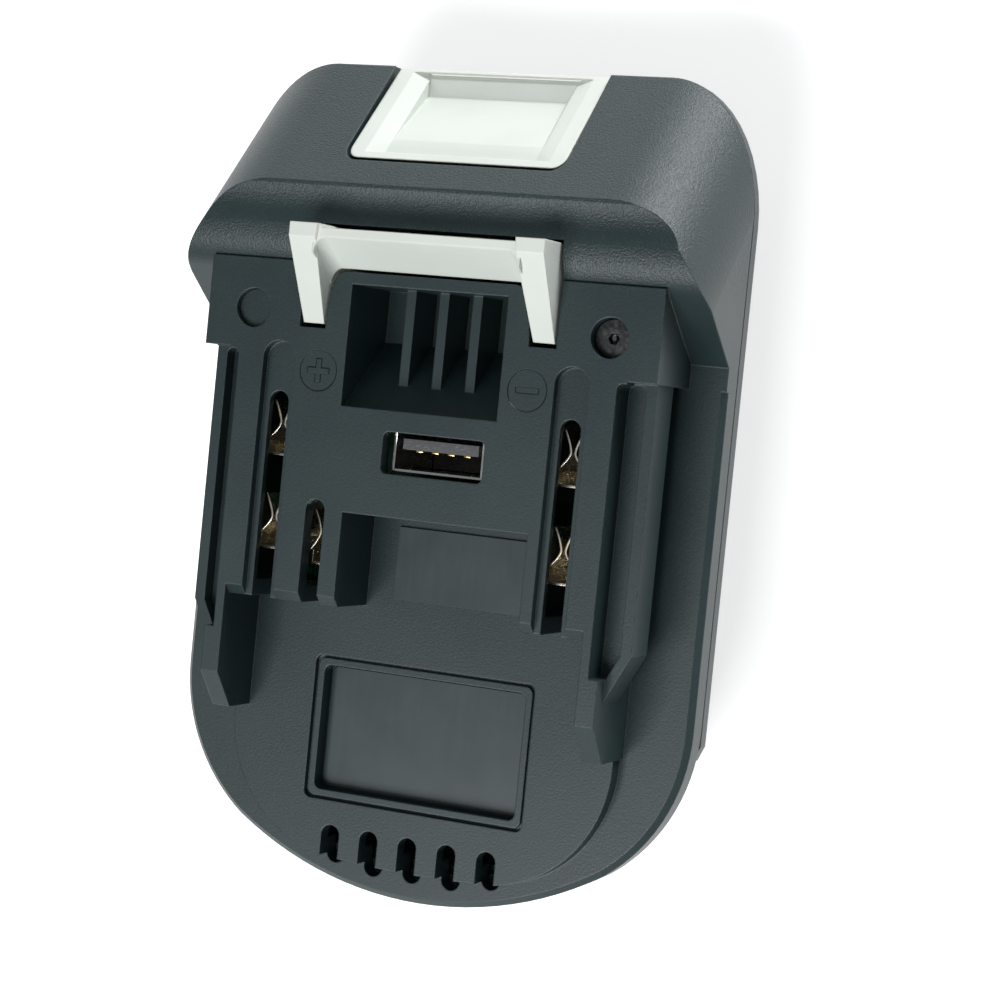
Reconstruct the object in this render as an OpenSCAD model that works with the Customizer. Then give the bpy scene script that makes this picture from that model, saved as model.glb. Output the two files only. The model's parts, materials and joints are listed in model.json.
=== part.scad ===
// Tool battery adapter: a slide-on rail block with spring contacts, a sprung latch and a
// charging socket on top, and a front-loading battery channel with blades underneath.
// +X is the right side, +Y the button end, +Z up out of the rail deck. Z = 0 is the underside.

/* [Body] */
// Overall width across the side walls
body_w = 75; // [73:0.5:80]
// Overall length, from the foot of the slanted front to the round rear end
body_l = 113; // [111:0.5:120]
// Height of the rail deck above the underside
deck_h = 42; // [40:0.5:48]
// Drop from the rail deck to the line where the two shells part
part_drop = 16; // [15.5:0.1:17]
// Drop from the rail deck to the side ledges
ledge_drop = 12.2; // [11.5:0.1:12.8]
// Drop from the rail deck to the rear deck
rear_drop = 9.9; // [9.2:0.1:10.4]
// Wall thickness of both shells
wall = 2.2; // [1.8:0.1:2.6]
// Corner radius of the round rear end
tail_corner_r = 25; // [22:0.5:28]
// Radius of the rear end's crown
tail_crown_r = 50; // [46:0.5:60]
// Chamfer along the rim of the ledges
rim_chamfer = 0.8; // [0.4:0.1:1.2]

/* [Hood] */
// Slope of the front face above the horizontal
hood_slope = 43.5; // [40:0.5:47]
// Rise of the hood's ridge above the rail deck
ridge_rise = 1; // [0.5:0.1:1.5]
// Corner radius between the slanted front and the sides
hood_corner_r = 13; // [10:0.5:16]
// Distance from the ridge back to the shoulder of the ramp
shoulder_l = 6.2; // [5.4:0.1:8]
// Width of the flat lands in front of and behind the hollow
hollow_land = 0.5; // [0.3:0.1:0.8]
// Radius of the hollow behind the ridge
hollow_r = 6; // [5:0.5:12]
// Slope of the ramp that falls from the hood to the ledges
ramp_slope = 54; // [50:0.5:60]
// Radius of the shoulder between the hollow and the ramp
shoulder_r = 7; // [5:0.5:9]
// Distance from the front foot to the front edge of the rail deck
hood_l = 28.45; // [27.5:0.05:29.5]

/* [Rail block] */
// Width across the stop ears
ear_w = 64.7; // [62:0.1:66]
// Length of the stop ears
ear_l = 12; // [11:0.1:13]
// Width across the rail lips
rail_w = 63.4; // [61:0.1:64.5]
// Width of the neck under the rail lips
neck_w = 56.9; // [56:0.1:58]
// Drop from the rail deck to the top of the lips
lip_drop = 2.4; // [1.5:0.1:3]
// Drop from the rail deck to the underside of the lips
lip_under_drop = 8.2; // [7.5:0.1:9]
// Width of the rail lips' top
lip_t = 1.5; // [1.2:0.1:2]
// Depth of the long grooves beside the lips
groove_drop = 4.5; // [3.5:0.1:5]
// Width of the long grooves
groove_w = 3.1; // [2.6:0.1:3.4]
// Corner radius at the front ends of the grooves
groove_corner_r = 0.8; // [0.5:0.1:1.2]
// Length of the rail deck from its front edge to the ends of its fingers
block_l = 43.75; // [43:0.25:46]
// Chamfer on the finger ends
finger_chamfer = 1.3; // [0.6:0.1:1.6]
// Length of the straight part of the rail lips, from the deck's front edge
lip_l = 46.5; // [45:0.25:48]
// Length of the slanted end of the rail lips
lip_end_l = 6.4; // [4:0.2:7]
// Thickness of the two tail walls
tail_t = 2.6; // [2.2:0.1:3]
// Length of the tail walls behind the deck's front edge, at full height
tail_l = 55.75; // [54:0.25:57]
// Length of the tails' end slopes
tail_end_l = 5; // [3:0.25:6]
// Drop of the tails' end slopes
tail_end_drop = 4.3; // [3:0.1:5]

/* [Deck openings] */
// Distance between the two rows of contacts
contact_span = 42; // [41:0.1:43]
// Width of the shallow channels over the contacts
channel_w = 4.7; // [4.2:0.1:5]
// Depth of the shallow channels
channel_d = 1.2; // [0.8:0.1:1.4]
// Distance from the deck's front edge to the channels
channel_y = 10.75; // [10:0.05:11.5]
// Width of the contact slots
slot_w = 2.8; // [2.6:0.05:3.2]
// Distance from the deck's front edge to the contact slots
slot_y = 17.4; // [16.5:0.1:18]
// Centre of the signal slot, left of the middle
signal_x = 13.5; // [13:0.05:14]
// Distance from the deck's front edge to the signal slot
signal_y = 31.2; // [30.5:0.1:32]
// Width of the ribbed bay
bay_w = 22.4; // [21:0.1:23]
// Length of the ribbed bay
bay_l = 16; // [15:0.1:16.4]
// Distance from the deck's front edge to the ribbed bay
bay_y = 2.55; // [2.2:0.05:3]
// Depth of the ribbed bay
bay_d = 11.5; // [9:0.25:12]
// Spacing of the ribs in the bay
rib_pitch = 4.8; // [4:0.1:5.2]
// Thickness of the ribs
rib_t = 1.35; // [1:0.05:1.6]
// Drop from the deck to the ribs' tops
rib_drop = 4.9; // [4.5:0.1:6]
// Length of the bay's sloping rear floor
bay_slope_l = 9; // [6:0.1:10]
// Left edge of the notch that holds the lower plate, left of the middle
notch_left = 9.5; // [9.2:0.05:9.8]
// Right edge of the notch, right of the middle
notch_right = 17; // [16.6:0.05:17.2]
// Distance from the deck's front edge to the notch
notch_y = 32.45; // [31.5:0.05:33]
// Distance between the two deck screws
screw_span = 51; // [50:0.1:52]
// Distance from the deck's front edge to the deck screws
screw_y = 6.7; // [6:0.1:7]

/* [Rear deck] */
// Width of the rear deck
rear_deck_w = 56; // [54:0.25:57]
// Margin between the rear deck and the rear end
rear_margin = 4.3; // [3.5:0.1:5]
// Corner radius of the rear deck
rear_corner_r = 18; // [16:0.5:20]
// Radius of the rear deck's crown
rear_crown_r = 160; // [120:5:240]
// Width of the plate recess
plate_w = 29.8; // [28:0.1:31]
// Length of the plate recess
plate_l = 17; // [15:0.1:18]
// Depth of the plate recess
plate_d = 2.7; // [2.2:0.1:3]
// Distance from the rear end to the plate recess
plate_y = 13.7; // [13:0.1:15]
// Corner radius of the plate recess and its border
plate_corner_r = 1; // [0.8:0.1:1.5]
// Width of the border stepped round the plate recess
border_w = 1.3; // [0.9:0.1:1.6]
// Depth of the border stepped round the plate recess
border_d = 0.25; // [0.15:0.05:0.5]
// Width of the groove along the border's outer edge
border_groove_w = 0.4; // [0.3:0.05:0.6]
// Depth of the groove along the border's outer edge
border_groove_d = 0.8; // [0.6:0.1:1.2]
// Number of vent slots
vent_count = 5; // [3:1:5]
// Spacing of the vent slots
vent_pitch = 5.8; // [4.5:0.1:6.2]
// Width of the vent slots
vent_w = 2.7; // [2:0.1:3]
// Length of the vent slots
vent_l = 6.4; // [6:0.1:7]
// How much shorter the two outermost vent slots are
vent_short = 1; // [0:0.1:1.5]
// Distance from the rear end to the vent slots
vent_y = 2.7; // [2.4:0.1:3]

/* [Latch] */
// How far the latch moves when pressed
latch_travel = 6; // [5:0.25:6.25]
// Running clearance round the latch
latch_gap = 0.4; // [0.3:0.05:0.6]
// Width of the hook
hook_w = 36; // [35:0.1:36.4]
// Height of the hook above the rail deck
hook_rise = 5.7; // [5:0.1:6]
// Distance from the deck's front edge back to the hook bar
hook_back = 0.55; // [0.3:0.05:0.7]
// Front to back thickness of the hook bar
hook_t = 4.75; // [4:0.05:5]
// Width of the hook bar's flat top
hook_top = 1.2; // [0.8:0.1:1.6]
// Thickness of the hook's two legs at their tips
leg_t = 3; // [2.6:0.1:3.2]
// Thickness of the legs at their heads
leg_head_w = 4.05; // [3.6:0.05:4.2]
// Reach of the legs behind the deck's front edge
leg_l = 8.05; // [7:0.05:8.4]
// How far the legs' heads stand in front of the bar
head_step = 0.5; // [0.3:0.05:0.8]
// How far the legs' heads stand above the bar
head_rise = 0.4; // [0.2:0.05:0.5]
// Length of the heads' flat top
head_top = 1.8; // [1.4:0.1:2.2]
// Radius of the fillets between the legs and the bar
hook_fillet_r = 1.8; // [1.2:0.1:2]
// Width of the button
button_w = 30.9; // [29:0.1:31.2]
// Distance from the front foot to the button's rear edge
button_l = 14.1; // [13:0.1:15]
// Corner radius of the button
button_corner_r = 1.6; // [1:0.1:2]
// How much deeper the button's face lies for each millimetre towards the front
button_lean = 0.06; // [0:0.01:0.08]
// Width of the button's rim at the sides of its finger dish
button_rim = 2.2; // [1.8:0.1:2.6]
// Width of the rim behind the finger dish
rear_rim = 0.95; // [0.7:0.05:1.4]
// Width of the rim in front of the finger dish
front_rim = 0.5; // [0.4:0.05:0.8]
// Width of the bevels along the dish's sides
dish_bevel_w = 2.4; // [1.8:0.1:2.8]
// Depth of the bevels along the dish's sides
dish_bevel_d = 0.8; // [0.5:0.1:1]
// Depth of the finger dish at its level step
dish_d = 2.6; // [2:0.1:2.9]
// Depth of the finger dish at its rear end
dish_rear_d = 0.3; // [0.2:0.05:0.6]
// Length of the level step at the front of the dish
dish_step_l = 3.2; // [2.6:0.1:3.8]
// Wall of the hollow button
button_t = 1.8; // [1.4:0.1:2.2]
// Outside diameter of the return springs
spring_d = 7; // [6:0.1:7.6]
// Wire diameter of the return springs
spring_wire = 0.9; // [0.7:0.05:1]
// Turns of the return springs
spring_turns = 5; // [4:0.5:6]
// Distance between the two return springs
spring_span = 18; // [16:0.5:22]

/* [Battery channel] */
// Width of the channel between the lips
channel_mouth = 45; // [43:0.25:46]
// Width of the rail grooves behind the lips
channel_rail = 52; // [50:0.25:52.5]
// Height of the lips
channel_lip = 3; // [2.4:0.1:4]
// Height of the rail grooves' ceiling above the underside
rail_top = 8.5; // [8:0.1:10]
// Height of the channel's roof above the underside
roof_h = 16; // [15:0.25:16.5]
// Length of the channel from the front foot to the terminal block
channel_l = 78.5; // [76:0.5:80]
// Width of the pocket in the roof for the battery's catch
catch_w = 18; // [15:0.5:22]
// Length of the catch pocket
catch_l = 6.5; // [5:0.25:7]
// Depth of the catch pocket above the roof
catch_d = 3.4; // [2.5:0.1:4]
// Inward slope of the lower shell's sides
foot_taper = 20; // [18:0.5:22]
// Height of the straight band under the parting line
band_h = 2.3; // [1.5:0.1:3]
// Chamfer of the lower shell along the parting line
part_chamfer = 0.4; // [0.2:0.05:0.6]
// Overhang of the round rear end over the lower shell
heel_inset = 3; // [2.5:0.1:4]
// Depth of the terminal block, front to back
terminal_l = 8; // [7:0.25:9]
// Width of the terminal block
terminal_w = 36; // [34:0.5:40]
// Distance between the two power blades
blade_span = 27; // [24:0.5:30]
// Distance between the two sense blades
sense_span = 9; // [7:0.5:11]
// Thickness of the blades
blade_t = 0.8; // [0.6:0.05:1]
// Height of the blades
blade_h = 6.5; // [5:0.1:7]
// Free length of the blades
blade_l = 9.5; // [8:0.25:11]

/* [Electronics] */
// Thickness of the circuit board
board_t = 1.6; // [1.2:0.1:2]
// Width of the circuit board
board_w = 48; // [47:0.5:49]
// Length of the circuit board
board_l = 47; // [46:0.5:48]
// Height of the board above the channel's ceiling
board_lift = 4.4; // [4:0.1:5]
// Width of the charging socket's shell
usb_w = 13.1; // [12.8:0.1:13.4]
// Thickness of the charging socket's shell
usb_t = 5.7; // [5.5:0.1:5.8]
// Centre of the charging socket, right of the middle
usb_x = 2.65; // [2:0.05:3]
// Distance from the deck's front edge to the charging socket's centre
usb_y = 24.05; // [23.9:0.05:24.5]
// Sheet thickness of the spring contacts
leaf_t = 0.35; // [0.25:0.05:0.45]
// Height of the contact leaves
leaf_h = 6.5; // [5:0.1:7.5]
// Length of a contact's leaves in front of the pinch
leaf_front_l = 3; // [2.6:0.1:3.4]
// Length of a contact's leaves behind the pinch
leaf_rear_l = 2.5; // [2:0.1:2.8]
// How far a contact's leaves flare at their front ends
leaf_front_flare = 1.15; // [0.8:0.05:1.4]
// How far a power contact's leaves flare at their rear ends
leaf_rear_flare = 2; // [1.5:0.1:2.2]
// How far the signal contact's leaves flare at their rear ends
signal_flare = 1.4; // [1.2:0.1:1.5]
// Distance from the deck's front edge to the front contacts' pinch
front_contact_y = 21.6; // [21.5:0.1:23]
// Distance from the deck's front edge to the rear contacts' pinch
rear_contact_y = 34.2; // [33:0.1:35]

/* [Hidden] */
$fn = 96;
// Cutters run past the faces that they open by this much
over = 1;
// Clearance between a fixed piece and the pocket or hole that it sits in
seat_gap = 0.1;

shell_colour = [0.20, 0.22, 0.22];
latch_colour = [0.87, 0.88, 0.84];
metal_colour = [0.78, 0.75, 0.68];

half_w = body_w / 2;
front_y = body_l / 2;
rear_y = -body_l / 2;
deck_y = front_y - hood_l;
block_rear_y = deck_y - block_l;

part_z = deck_h - part_drop;
ledge_z = deck_h - ledge_drop;
rear_z = deck_h - rear_drop;
ridge_z = deck_h + ridge_rise;
ridge_y = front_y - (ridge_z - part_z) / tan(hood_slope);

contact_x = contact_span / 2;
groove_x = rail_w / 2 - lip_t - groove_w;
tail_inner_x = neck_w / 2 - tail_t;
slot_floor_z = rear_z + 0.6;
bay_floor_z = deck_h - bay_d;
bay_rear_y = deck_y - bay_y - bay_l;
notch_floor_z = rear_z;
notch_front_y = deck_y - notch_y;
plate_rear_y = rear_y + plate_y;
plate_floor_z = rear_z - plate_d;
well_t = 1.6;
notch_wall = 1.2;

screw_d = 3;
screw_head_d = 5;
screw_head_h = 1.8;
screw_socket_d = 1.5;
screw_recess_d = 5.2;
screw_recess_h = 3.2;
plug_h = 0.5;
rear_screw_span = 18;
rear_screw_in = 5;
rear_screw_y = plate_rear_y + rear_screw_in;
boss_d = 7;
column_d = boss_d + 1;
vent_floor = 1;
plate_t = 0.4;
plate_margin = 0.3;

floor_z = roof_h + wall;
board_z = floor_z + board_lift;
board_top_z = board_z + board_t;
board_front_y = deck_y - ear_l - 0.6;
board_rear_y = board_front_y - board_l;
terminal_front_y = front_y - channel_l;
terminal_rear_y = terminal_front_y - terminal_l;
foot_rear_y = terminal_rear_y - wall;
foot_draft = (part_z - band_h) * tan(foot_taper);
blade_z = rail_top - 1;
// Where the blades' upright tabs stand in the terminal block
tab_rear_y = terminal_rear_y + 1.2;
tab_front_y = tab_rear_y + 3;
blade_xs = [-blade_span / 2, -sense_span / 2, sense_span / 2, blade_span / 2];
board_post_in = 3;
board_post_d = 5;
board_screw_d = 2;
catch_y = deck_y - 1.5;

// Charging circuit on the board, in front of the plate recess
circuit_gap = 1.65;
coil_x = 8;
coil_d = 8;
coil_y = plate_rear_y + plate_l + well_t + circuit_gap + coil_d / 2;
coil_h = 4;
coil_flange = 0.8;
can_d = 5;
can_h = 4.2;
can_pitch = can_d + 1;
can_from_signal = 4.8;
chip_w = 5;
chip_l = 4;
chip_h = 1.5;
// The chip lies outside the right power blade's tab
chip_gap = 0.6;

button_rear_y = front_y - button_l;
button_front_y = front_y - 0.2;
button_recess = 0.3;
button_low_z = floor_z + latch_travel + latch_gap;
hook_rear_y = deck_y - hook_back;
hook_front_y = hook_rear_y + hook_t;
head_y = hook_front_y + head_step;
leg_tip_y = deck_y - leg_l;
// Level where the hook's slopes start, just under the deck
hook_foot_z = deck_h - 0.4;
carrier_z = part_z + 4.5;
carrier_t = 2.5;
chamber_roof_z = deck_h - 5.4;
chamber_half_w = hook_w / 2 + latch_gap;
spring_y = head_y + spring_d / 2 + latch_gap;
spring_post_d = spring_d - 2 * spring_wire - 0.8;

usb_wall = 0.4;
// The socket stands a little in front of the middle of its mouth
usb_shell_y = deck_y - usb_y + 0.5;
usb_top_z = deck_h - 1.9;
usb_cover_t = 1.2;
usb_mouth_w = 14.5;
usb_mouth_t = 5.5;
usb_mouth_r = 0.8;
usb_room = 0.6;
tongue_w = 10.9;
tongue_t = 1.4;
tongue_off = 0.85;
tongue_top_z = usb_top_z - 0.5;
usb_base_h = 4;
leaf_top_z = deck_h - channel_d - 1.6;

// Height of the slanted front face at a distance from the front
function slant_z(y) = part_z + (front_y - y) * tan(hood_slope);

// Height of the button's face, which lies deeper in the slanted front towards its foot
function button_z(y) = slant_z(y) - button_recess - button_lean * (y - button_rear_y);

// Upright outline in the Y-Z plane, made solid from -w/2 to w/2
module across(w) {
    rotate([90, 0, 90])
        linear_extrude(height = w, center = true)
            children();
}

// Box given by its lowest and highest corners
module span(low, high) {
    translate(low)
        cube(high - low);
}

module both_sides() {
    for (side = [0, 1])
        mirror([side, 0, 0])
            children();
}

// Rectangle about the origin with round corners
module round_rect(w, l, r) {
    square([w - 2 * r, l], center = true);
    square([w, l - 2 * r], center = true);
    for (sx = [-1, 1], sy = [-1, 1])
        translate([sx * (w / 2 - r), sy * (l / 2 - r)])
            circle(r);
}

// Where the corner arcs of a round end start. They cross the crown at a slight angle.
function corner_start(half, rear, corner_r, crown_r) =
    rear + crown_r - sqrt(pow(crown_r - corner_r, 2) - pow(half - corner_r, 2)) - 0.08;

// Plan outline with straight sides and a rear end of two corner arcs and a crown
module round_end(half, rear, corner_r, crown_r, front) {
    corner_x = half - corner_r;
    corner_y = corner_start(half, rear, corner_r, crown_r);
    crown_half = corner_x * crown_r / (crown_r - corner_r);
    translate([-half, corner_y])
        square([2 * half, front - corner_y]);
    intersection() {
        translate([0, rear + crown_r])
            circle(crown_r);
        union() {
            for (side = [-1, 1])
                translate([side * corner_x, corner_y])
                    circle(corner_r);
            translate([-crown_half, rear - over])
                square([2 * crown_half, corner_y - rear + over]);
        }
    }
}

module body_outline(inset, front) {
    round_end(half_w - inset, rear_y + inset, tail_corner_r - inset, tail_crown_r - inset, front);
}

module rear_deck_outline(inset, front) {
    round_end(rear_deck_w / 2 - inset, rear_y + rear_margin + inset,
        rear_corner_r - inset, rear_crown_r - inset, front);
}

// Disc with a chamfered top edge
module rimmed_disc(r, h) {
    rotate_extrude()
        polygon([[0, 0], [r, 0], [r, h - rim_chamfer], [r - rim_chamfer, h], [0, h]]);
}

// Slab of the ledges, with its rim chamfered along the sides and round the rear end
module ledge_slab() {
    h = ledge_z - part_z;
    corner_x = half_w - tail_corner_r;
    corner_y = corner_start(half_w, rear_y, tail_corner_r, tail_crown_r);
    crown_half = corner_x * tail_crown_r / (tail_crown_r - tail_corner_r);
    rim_front = deck_y - ear_l;
    translate([0, 0, part_z]) {
        translate([0, rim_front, 0])
            rotate([90, 0, 0])
                linear_extrude(height = rim_front - corner_y)
                    polygon([
                        [half_w, 0], [half_w, h - rim_chamfer], [half_w - rim_chamfer, h],
                        [rim_chamfer - half_w, h], [-half_w, h - rim_chamfer], [-half_w, 0]
                    ]);
        intersection() {
            translate([0, rear_y + tail_crown_r, 0])
                rimmed_disc(tail_crown_r, h);
            union() {
                for (side = [-1, 1])
                    translate([side * corner_x, corner_y, 0])
                        rimmed_disc(tail_corner_r, h);
                translate([-crown_half, rear_y - over, 0])
                    cube([2 * crown_half, corner_y - rear_y + over, h]);
            }
        }
        translate([-half_w, rim_front, 0])
            cube([body_w, deck_y - rim_front, h]);
    }
}

// Slanted front of the hood: a round-cornered section drawn along the slope, a hair wider
// than the body, whose flat sides then cut it
module hood_slab(inset) {
    depth = (front_y - deck_y + ear_l + 10) * sin(hood_slope);
    half = half_w + 0.03 - inset;
    corner_r = hood_corner_r - inset;
    translate([0, front_y, part_z])
        rotate([90 - hood_slope, 0, 0])
            translate([0, 0, -depth])
                linear_extrude(height = 3 * depth) {
                    translate([-half, -depth])
                        square([2 * half, depth - inset - corner_r]);
                    translate([-half + corner_r, -depth])
                        square([2 * (half - corner_r), depth - inset]);
                    for (side = [-1, 1])
                        translate([side * (half - corner_r), -inset - corner_r])
                            circle(corner_r);
                }
}

// Side view of the hood: ridge, hollow, shoulder and ramp down to the ledges
module hood_profile() {
    shoulder_y = ridge_y - shoulder_l;
    hollow_half = shoulder_l / 2 - hollow_land;
    shoulder_z = ridge_z - shoulder_r;
    foot_y = shoulder_y - shoulder_r * sin(ramp_slope)
        - (shoulder_z + shoulder_r * cos(ramp_slope) - ledge_z) / tan(ramp_slope);
    hollow_rise = sqrt(pow(hollow_r, 2) - pow(hollow_half, 2));
    difference() {
        union() {
            polygon([
                [front_y, part_z],
                [front_y, ridge_z],
                [shoulder_y, ridge_z],
                [shoulder_y, shoulder_z],
                [shoulder_y - shoulder_r * sin(ramp_slope), shoulder_z + shoulder_r * cos(ramp_slope)],
                [foot_y, ledge_z],
                [foot_y, part_z]
            ]);
            translate([shoulder_y, shoulder_z])
                circle(shoulder_r);
        }
        translate([ridge_y - shoulder_l / 2, ridge_z + hollow_rise])
            circle(hollow_r);
    }
}

module hood() {
    intersection() {
        hood_slab(0);
        across(body_w)
            hood_profile();
    }
}

// Rail lips on both sides of the block, with slanted rear ends
module rail_lips() {
    translate([0, 0, deck_h - lip_under_drop])
        linear_extrude(height = lip_under_drop - lip_drop)
            for (side = [-1, 1])
                polygon([
                    [side * tail_inner_x, deck_y - ear_l],
                    [side * rail_w / 2, deck_y - ear_l],
                    [side * rail_w / 2, deck_y - lip_l],
                    [side * neck_w / 2, deck_y - lip_l - lip_end_l],
                    [side * tail_inner_x, deck_y - lip_l - lip_end_l]
                ]);
}

// Side view of the tail walls, which run on behind the deck and slope down at their ends
module tail_profile() {
    polygon([
        [block_rear_y + over, part_z],
        [block_rear_y + over, deck_h],
        [deck_y - tail_l, deck_h],
        [deck_y - tail_l - tail_end_l, deck_h - tail_end_drop],
        [deck_y - tail_l - tail_end_l, part_z]
    ]);
}

// Side view of the deck, with chamfered finger ends
module block_profile() {
    polygon([
        [deck_y, part_z],
        [deck_y, deck_h],
        [block_rear_y, deck_h],
        [block_rear_y - finger_chamfer, deck_h - finger_chamfer],
        [block_rear_y - finger_chamfer, part_z]
    ]);
}

module rail_block() {
    across(neck_w)
        block_profile();
    span([-ear_w / 2, deck_y - ear_l, part_z], [ear_w / 2, deck_y, deck_h]);
    both_sides()
        translate([neck_w / 2 - tail_t / 2, 0, 0])
            across(tail_t)
                tail_profile();
    rail_lips();
}

module upper_outside() {
    ledge_slab();
    translate([0, 0, part_z])
        linear_extrude(height = rear_z - part_z)
            rear_deck_outline(0, block_rear_y);
    hood();
    rail_block();
}

module upper_cavity() {
    cavity_front = deck_y - ear_l - wall;
    translate([0, 0, part_z - over])
        linear_extrude(height = ledge_z - wall - part_z + over)
            body_outline(heel_inset + wall / 2, cavity_front);
    translate([0, 0, part_z - over])
        linear_extrude(height = rear_z - wall - part_z + over)
            rear_deck_outline(wall, cavity_front);
    span([-tail_inner_x + 0.4, block_rear_y + wall - finger_chamfer, part_z - over],
        [tail_inner_x - 0.4, cavity_front, deck_h - wall]);
    // Chamber that the latch moves in, open under the button
    span([-chamber_half_w, deck_y, part_z - over], [chamber_half_w, button_rear_y, chamber_roof_z]);
    span([-chamber_half_w, deck_y - ear_l, part_z - over], [chamber_half_w, deck_y + over, chamber_roof_z]);
    translate([0, 0, part_z - over])
        linear_extrude(height = ridge_z - part_z + 2 * over)
            button_plan(latch_gap, front_y + over);
    // Room in the hood either side of the chamber
    both_sides()
        intersection() {
            hood_slab(wall);
            span([chamber_half_w + well_t, deck_y + wall, part_z - over],
                [half_w, front_y, chamber_roof_z]);
        }
}

// Walls of the pockets that reach down into the shell, and the columns for the rear screws
module upper_wells() {
    span([-bay_w / 2 - well_t, bay_rear_y - well_t, bay_floor_z - well_t],
        [bay_w / 2 + well_t, hook_rear_y - latch_gap, deck_h]);
    span([-notch_left - notch_wall, block_rear_y - finger_chamfer, notch_floor_z - wall],
        [notch_right + notch_wall, notch_front_y + notch_wall, deck_h - finger_chamfer]);
    span([-plate_w / 2 - well_t, plate_rear_y - well_t, plate_floor_z - well_t],
        [plate_w / 2 + well_t, plate_rear_y + plate_l + well_t, rear_z]);
    for (side = [-1, 1])
        translate([side * rear_screw_span / 2, rear_screw_y, part_z])
            cylinder(d = column_d, h = plate_floor_z - part_z);
}

// Vent slot with two round ends
module vent_slot(x, rear, front) {
    low = part_z + vent_floor;
    translate([x, 0, low])
        linear_extrude(height = rear_z + over - low) {
            for (y = [rear + vent_w / 2, front - vent_w / 2])
                translate([0, y])
                    circle(d = vent_w);
            translate([-vent_w / 2, rear + vent_w / 2])
                square([vent_w, front - rear - vent_w]);
        }
}

// Slot with a round front end that runs straight back from front
module rear_slot(x, front, w, low, high, length) {
    translate([x, 0, low])
        linear_extrude(height = high - low) {
            translate([0, front - w / 2])
                circle(d = w);
            translate([-w / 2, front - length])
                square([w, length - w / 2]);
        }
}

// Long groove beside a rail lip, whose rear end narrows along the lip's slanted end
module lip_groove() {
    outer_x = groove_x + groove_w;
    front = deck_y - ear_l - 0.3;
    slant = deck_y - lip_l;
    rear = slant - lip_end_l / 2;
    narrow = (rail_w - neck_w) / 4;
    translate([0, 0, deck_h - groove_drop])
        linear_extrude(height = groove_drop + over) {
            polygon([
                [groove_x, front - groove_corner_r], [groove_x, rear], [outer_x - narrow, rear],
                [outer_x, slant], [outer_x, front - groove_corner_r]
            ]);
            translate([groove_x + groove_corner_r, slant])
                square([groove_w - 2 * groove_corner_r, front - slant]);
            for (x = [groove_x + groove_corner_r, outer_x - groove_corner_r])
                translate([x, front - groove_corner_r])
                    circle(groove_corner_r);
        }
}

// Pocket of the ribbed bay, with its sloping rear floor
module bay_cut() {
    difference() {
        across(bay_w)
            polygon([
                [deck_y - bay_y, deck_h + over],
                [deck_y - bay_y, bay_floor_z],
                [bay_rear_y + bay_slope_l, bay_floor_z],
                [bay_rear_y, deck_h - 1],
                [bay_rear_y, deck_h + over]
            ]);
        for (rib = [-1, 0, 1])
            span([rib * rib_pitch - rib_t / 2, bay_rear_y, bay_floor_z],
                [rib * rib_pitch + rib_t / 2, deck_y - bay_y, deck_h - rib_drop]);
    }
}

module upper_cuts() {
    slot_l = block_l + 2 * finger_chamfer;
    for (side = [-1, 1]) {
        rear_slot(side * contact_x, deck_y - channel_y, channel_w,
            deck_h - channel_d, deck_h + over, slot_l - channel_y);
        rear_slot(side * contact_x, deck_y - slot_y, slot_w, slot_floor_z, deck_h + over, slot_l - slot_y);
        translate([side * screw_span / 2, deck_y - screw_y, 0]) {
            translate([0, 0, deck_h - screw_recess_h])
                cylinder(d = screw_recess_d, h = screw_recess_h + over);
            translate([0, 0, part_z - over])
                cylinder(d = screw_d + 0.4, h = deck_h - part_z);
        }
        translate([side * rear_screw_span / 2, rear_screw_y, 0]) {
            translate([0, 0, plate_floor_z - screw_head_h])
                cylinder(d = screw_recess_d, h = screw_head_h + over);
            translate([0, 0, part_z - over])
                cylinder(d = screw_d + 0.4, h = plate_floor_z - part_z);
        }
    }
    rear_slot(-signal_x, deck_y - signal_y, slot_w, slot_floor_z, deck_h + over, slot_l - signal_y);
    both_sides() {
        lip_groove();
        // Way for the hook's legs and their fillets through the deck
        translate([0, 0, part_z - over])
            linear_extrude(height = deck_h - part_z + 2 * over)
                leg_plan(latch_gap);
        translate([0, 0, chamber_roof_z - over])
            linear_extrude(height = deck_h - chamber_roof_z + 2 * over)
                deck_corner_cut();
    }
    // Way for the hook bar through the hood
    span([-chamber_half_w, hook_rear_y - latch_gap, chamber_roof_z - over],
        [chamber_half_w, head_y + latch_gap, ridge_z + over]);
    bay_cut();
    span([-notch_left, block_rear_y - finger_chamfer - over, notch_floor_z],
        [notch_right, notch_front_y, deck_h + over]);
    translate([0, plate_rear_y + plate_l / 2, 0]) {
        translate([0, 0, plate_floor_z])
            linear_extrude(height = plate_d + over)
                round_rect(plate_w, plate_l, plate_corner_r);
        translate([0, 0, rear_z - border_d])
            linear_extrude(height = border_d + over)
                border_plan(border_w);
        translate([0, 0, rear_z - border_groove_d])
            linear_extrude(height = border_groove_d + over)
                difference() {
                    border_plan(border_w);
                    border_plan(border_w - border_groove_w);
                }
    }
    for (k = [0 : vent_count - 1]) {
        outermost = k == 0 || k == vent_count - 1;
        vent_slot((k - (vent_count - 1) / 2) * vent_pitch,
            rear_y + vent_y + (outermost ? vent_short : 0), rear_y + vent_y + vent_l);
    }
    usb_opening();
}

// Plan of the border round the plate recess, w wide
module border_plan(w) {
    round_rect(plate_w + 2 * w, plate_l + 2 * w, plate_corner_r);
}

// Mouth of the charging socket, and the room for its shell under the deck
module usb_opening() {
    translate([usb_x, deck_y - usb_y, deck_h - wall])
        linear_extrude(height = wall + over)
            round_rect(usb_mouth_w, usb_mouth_t, usb_mouth_r);
    translate([usb_x, usb_shell_y, deck_h - (wall + usb_cover_t + over) / 2])
        cube([usb_w + 2 * usb_room, usb_t + usb_room, wall - usb_cover_t + over], center = true);
}

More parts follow.
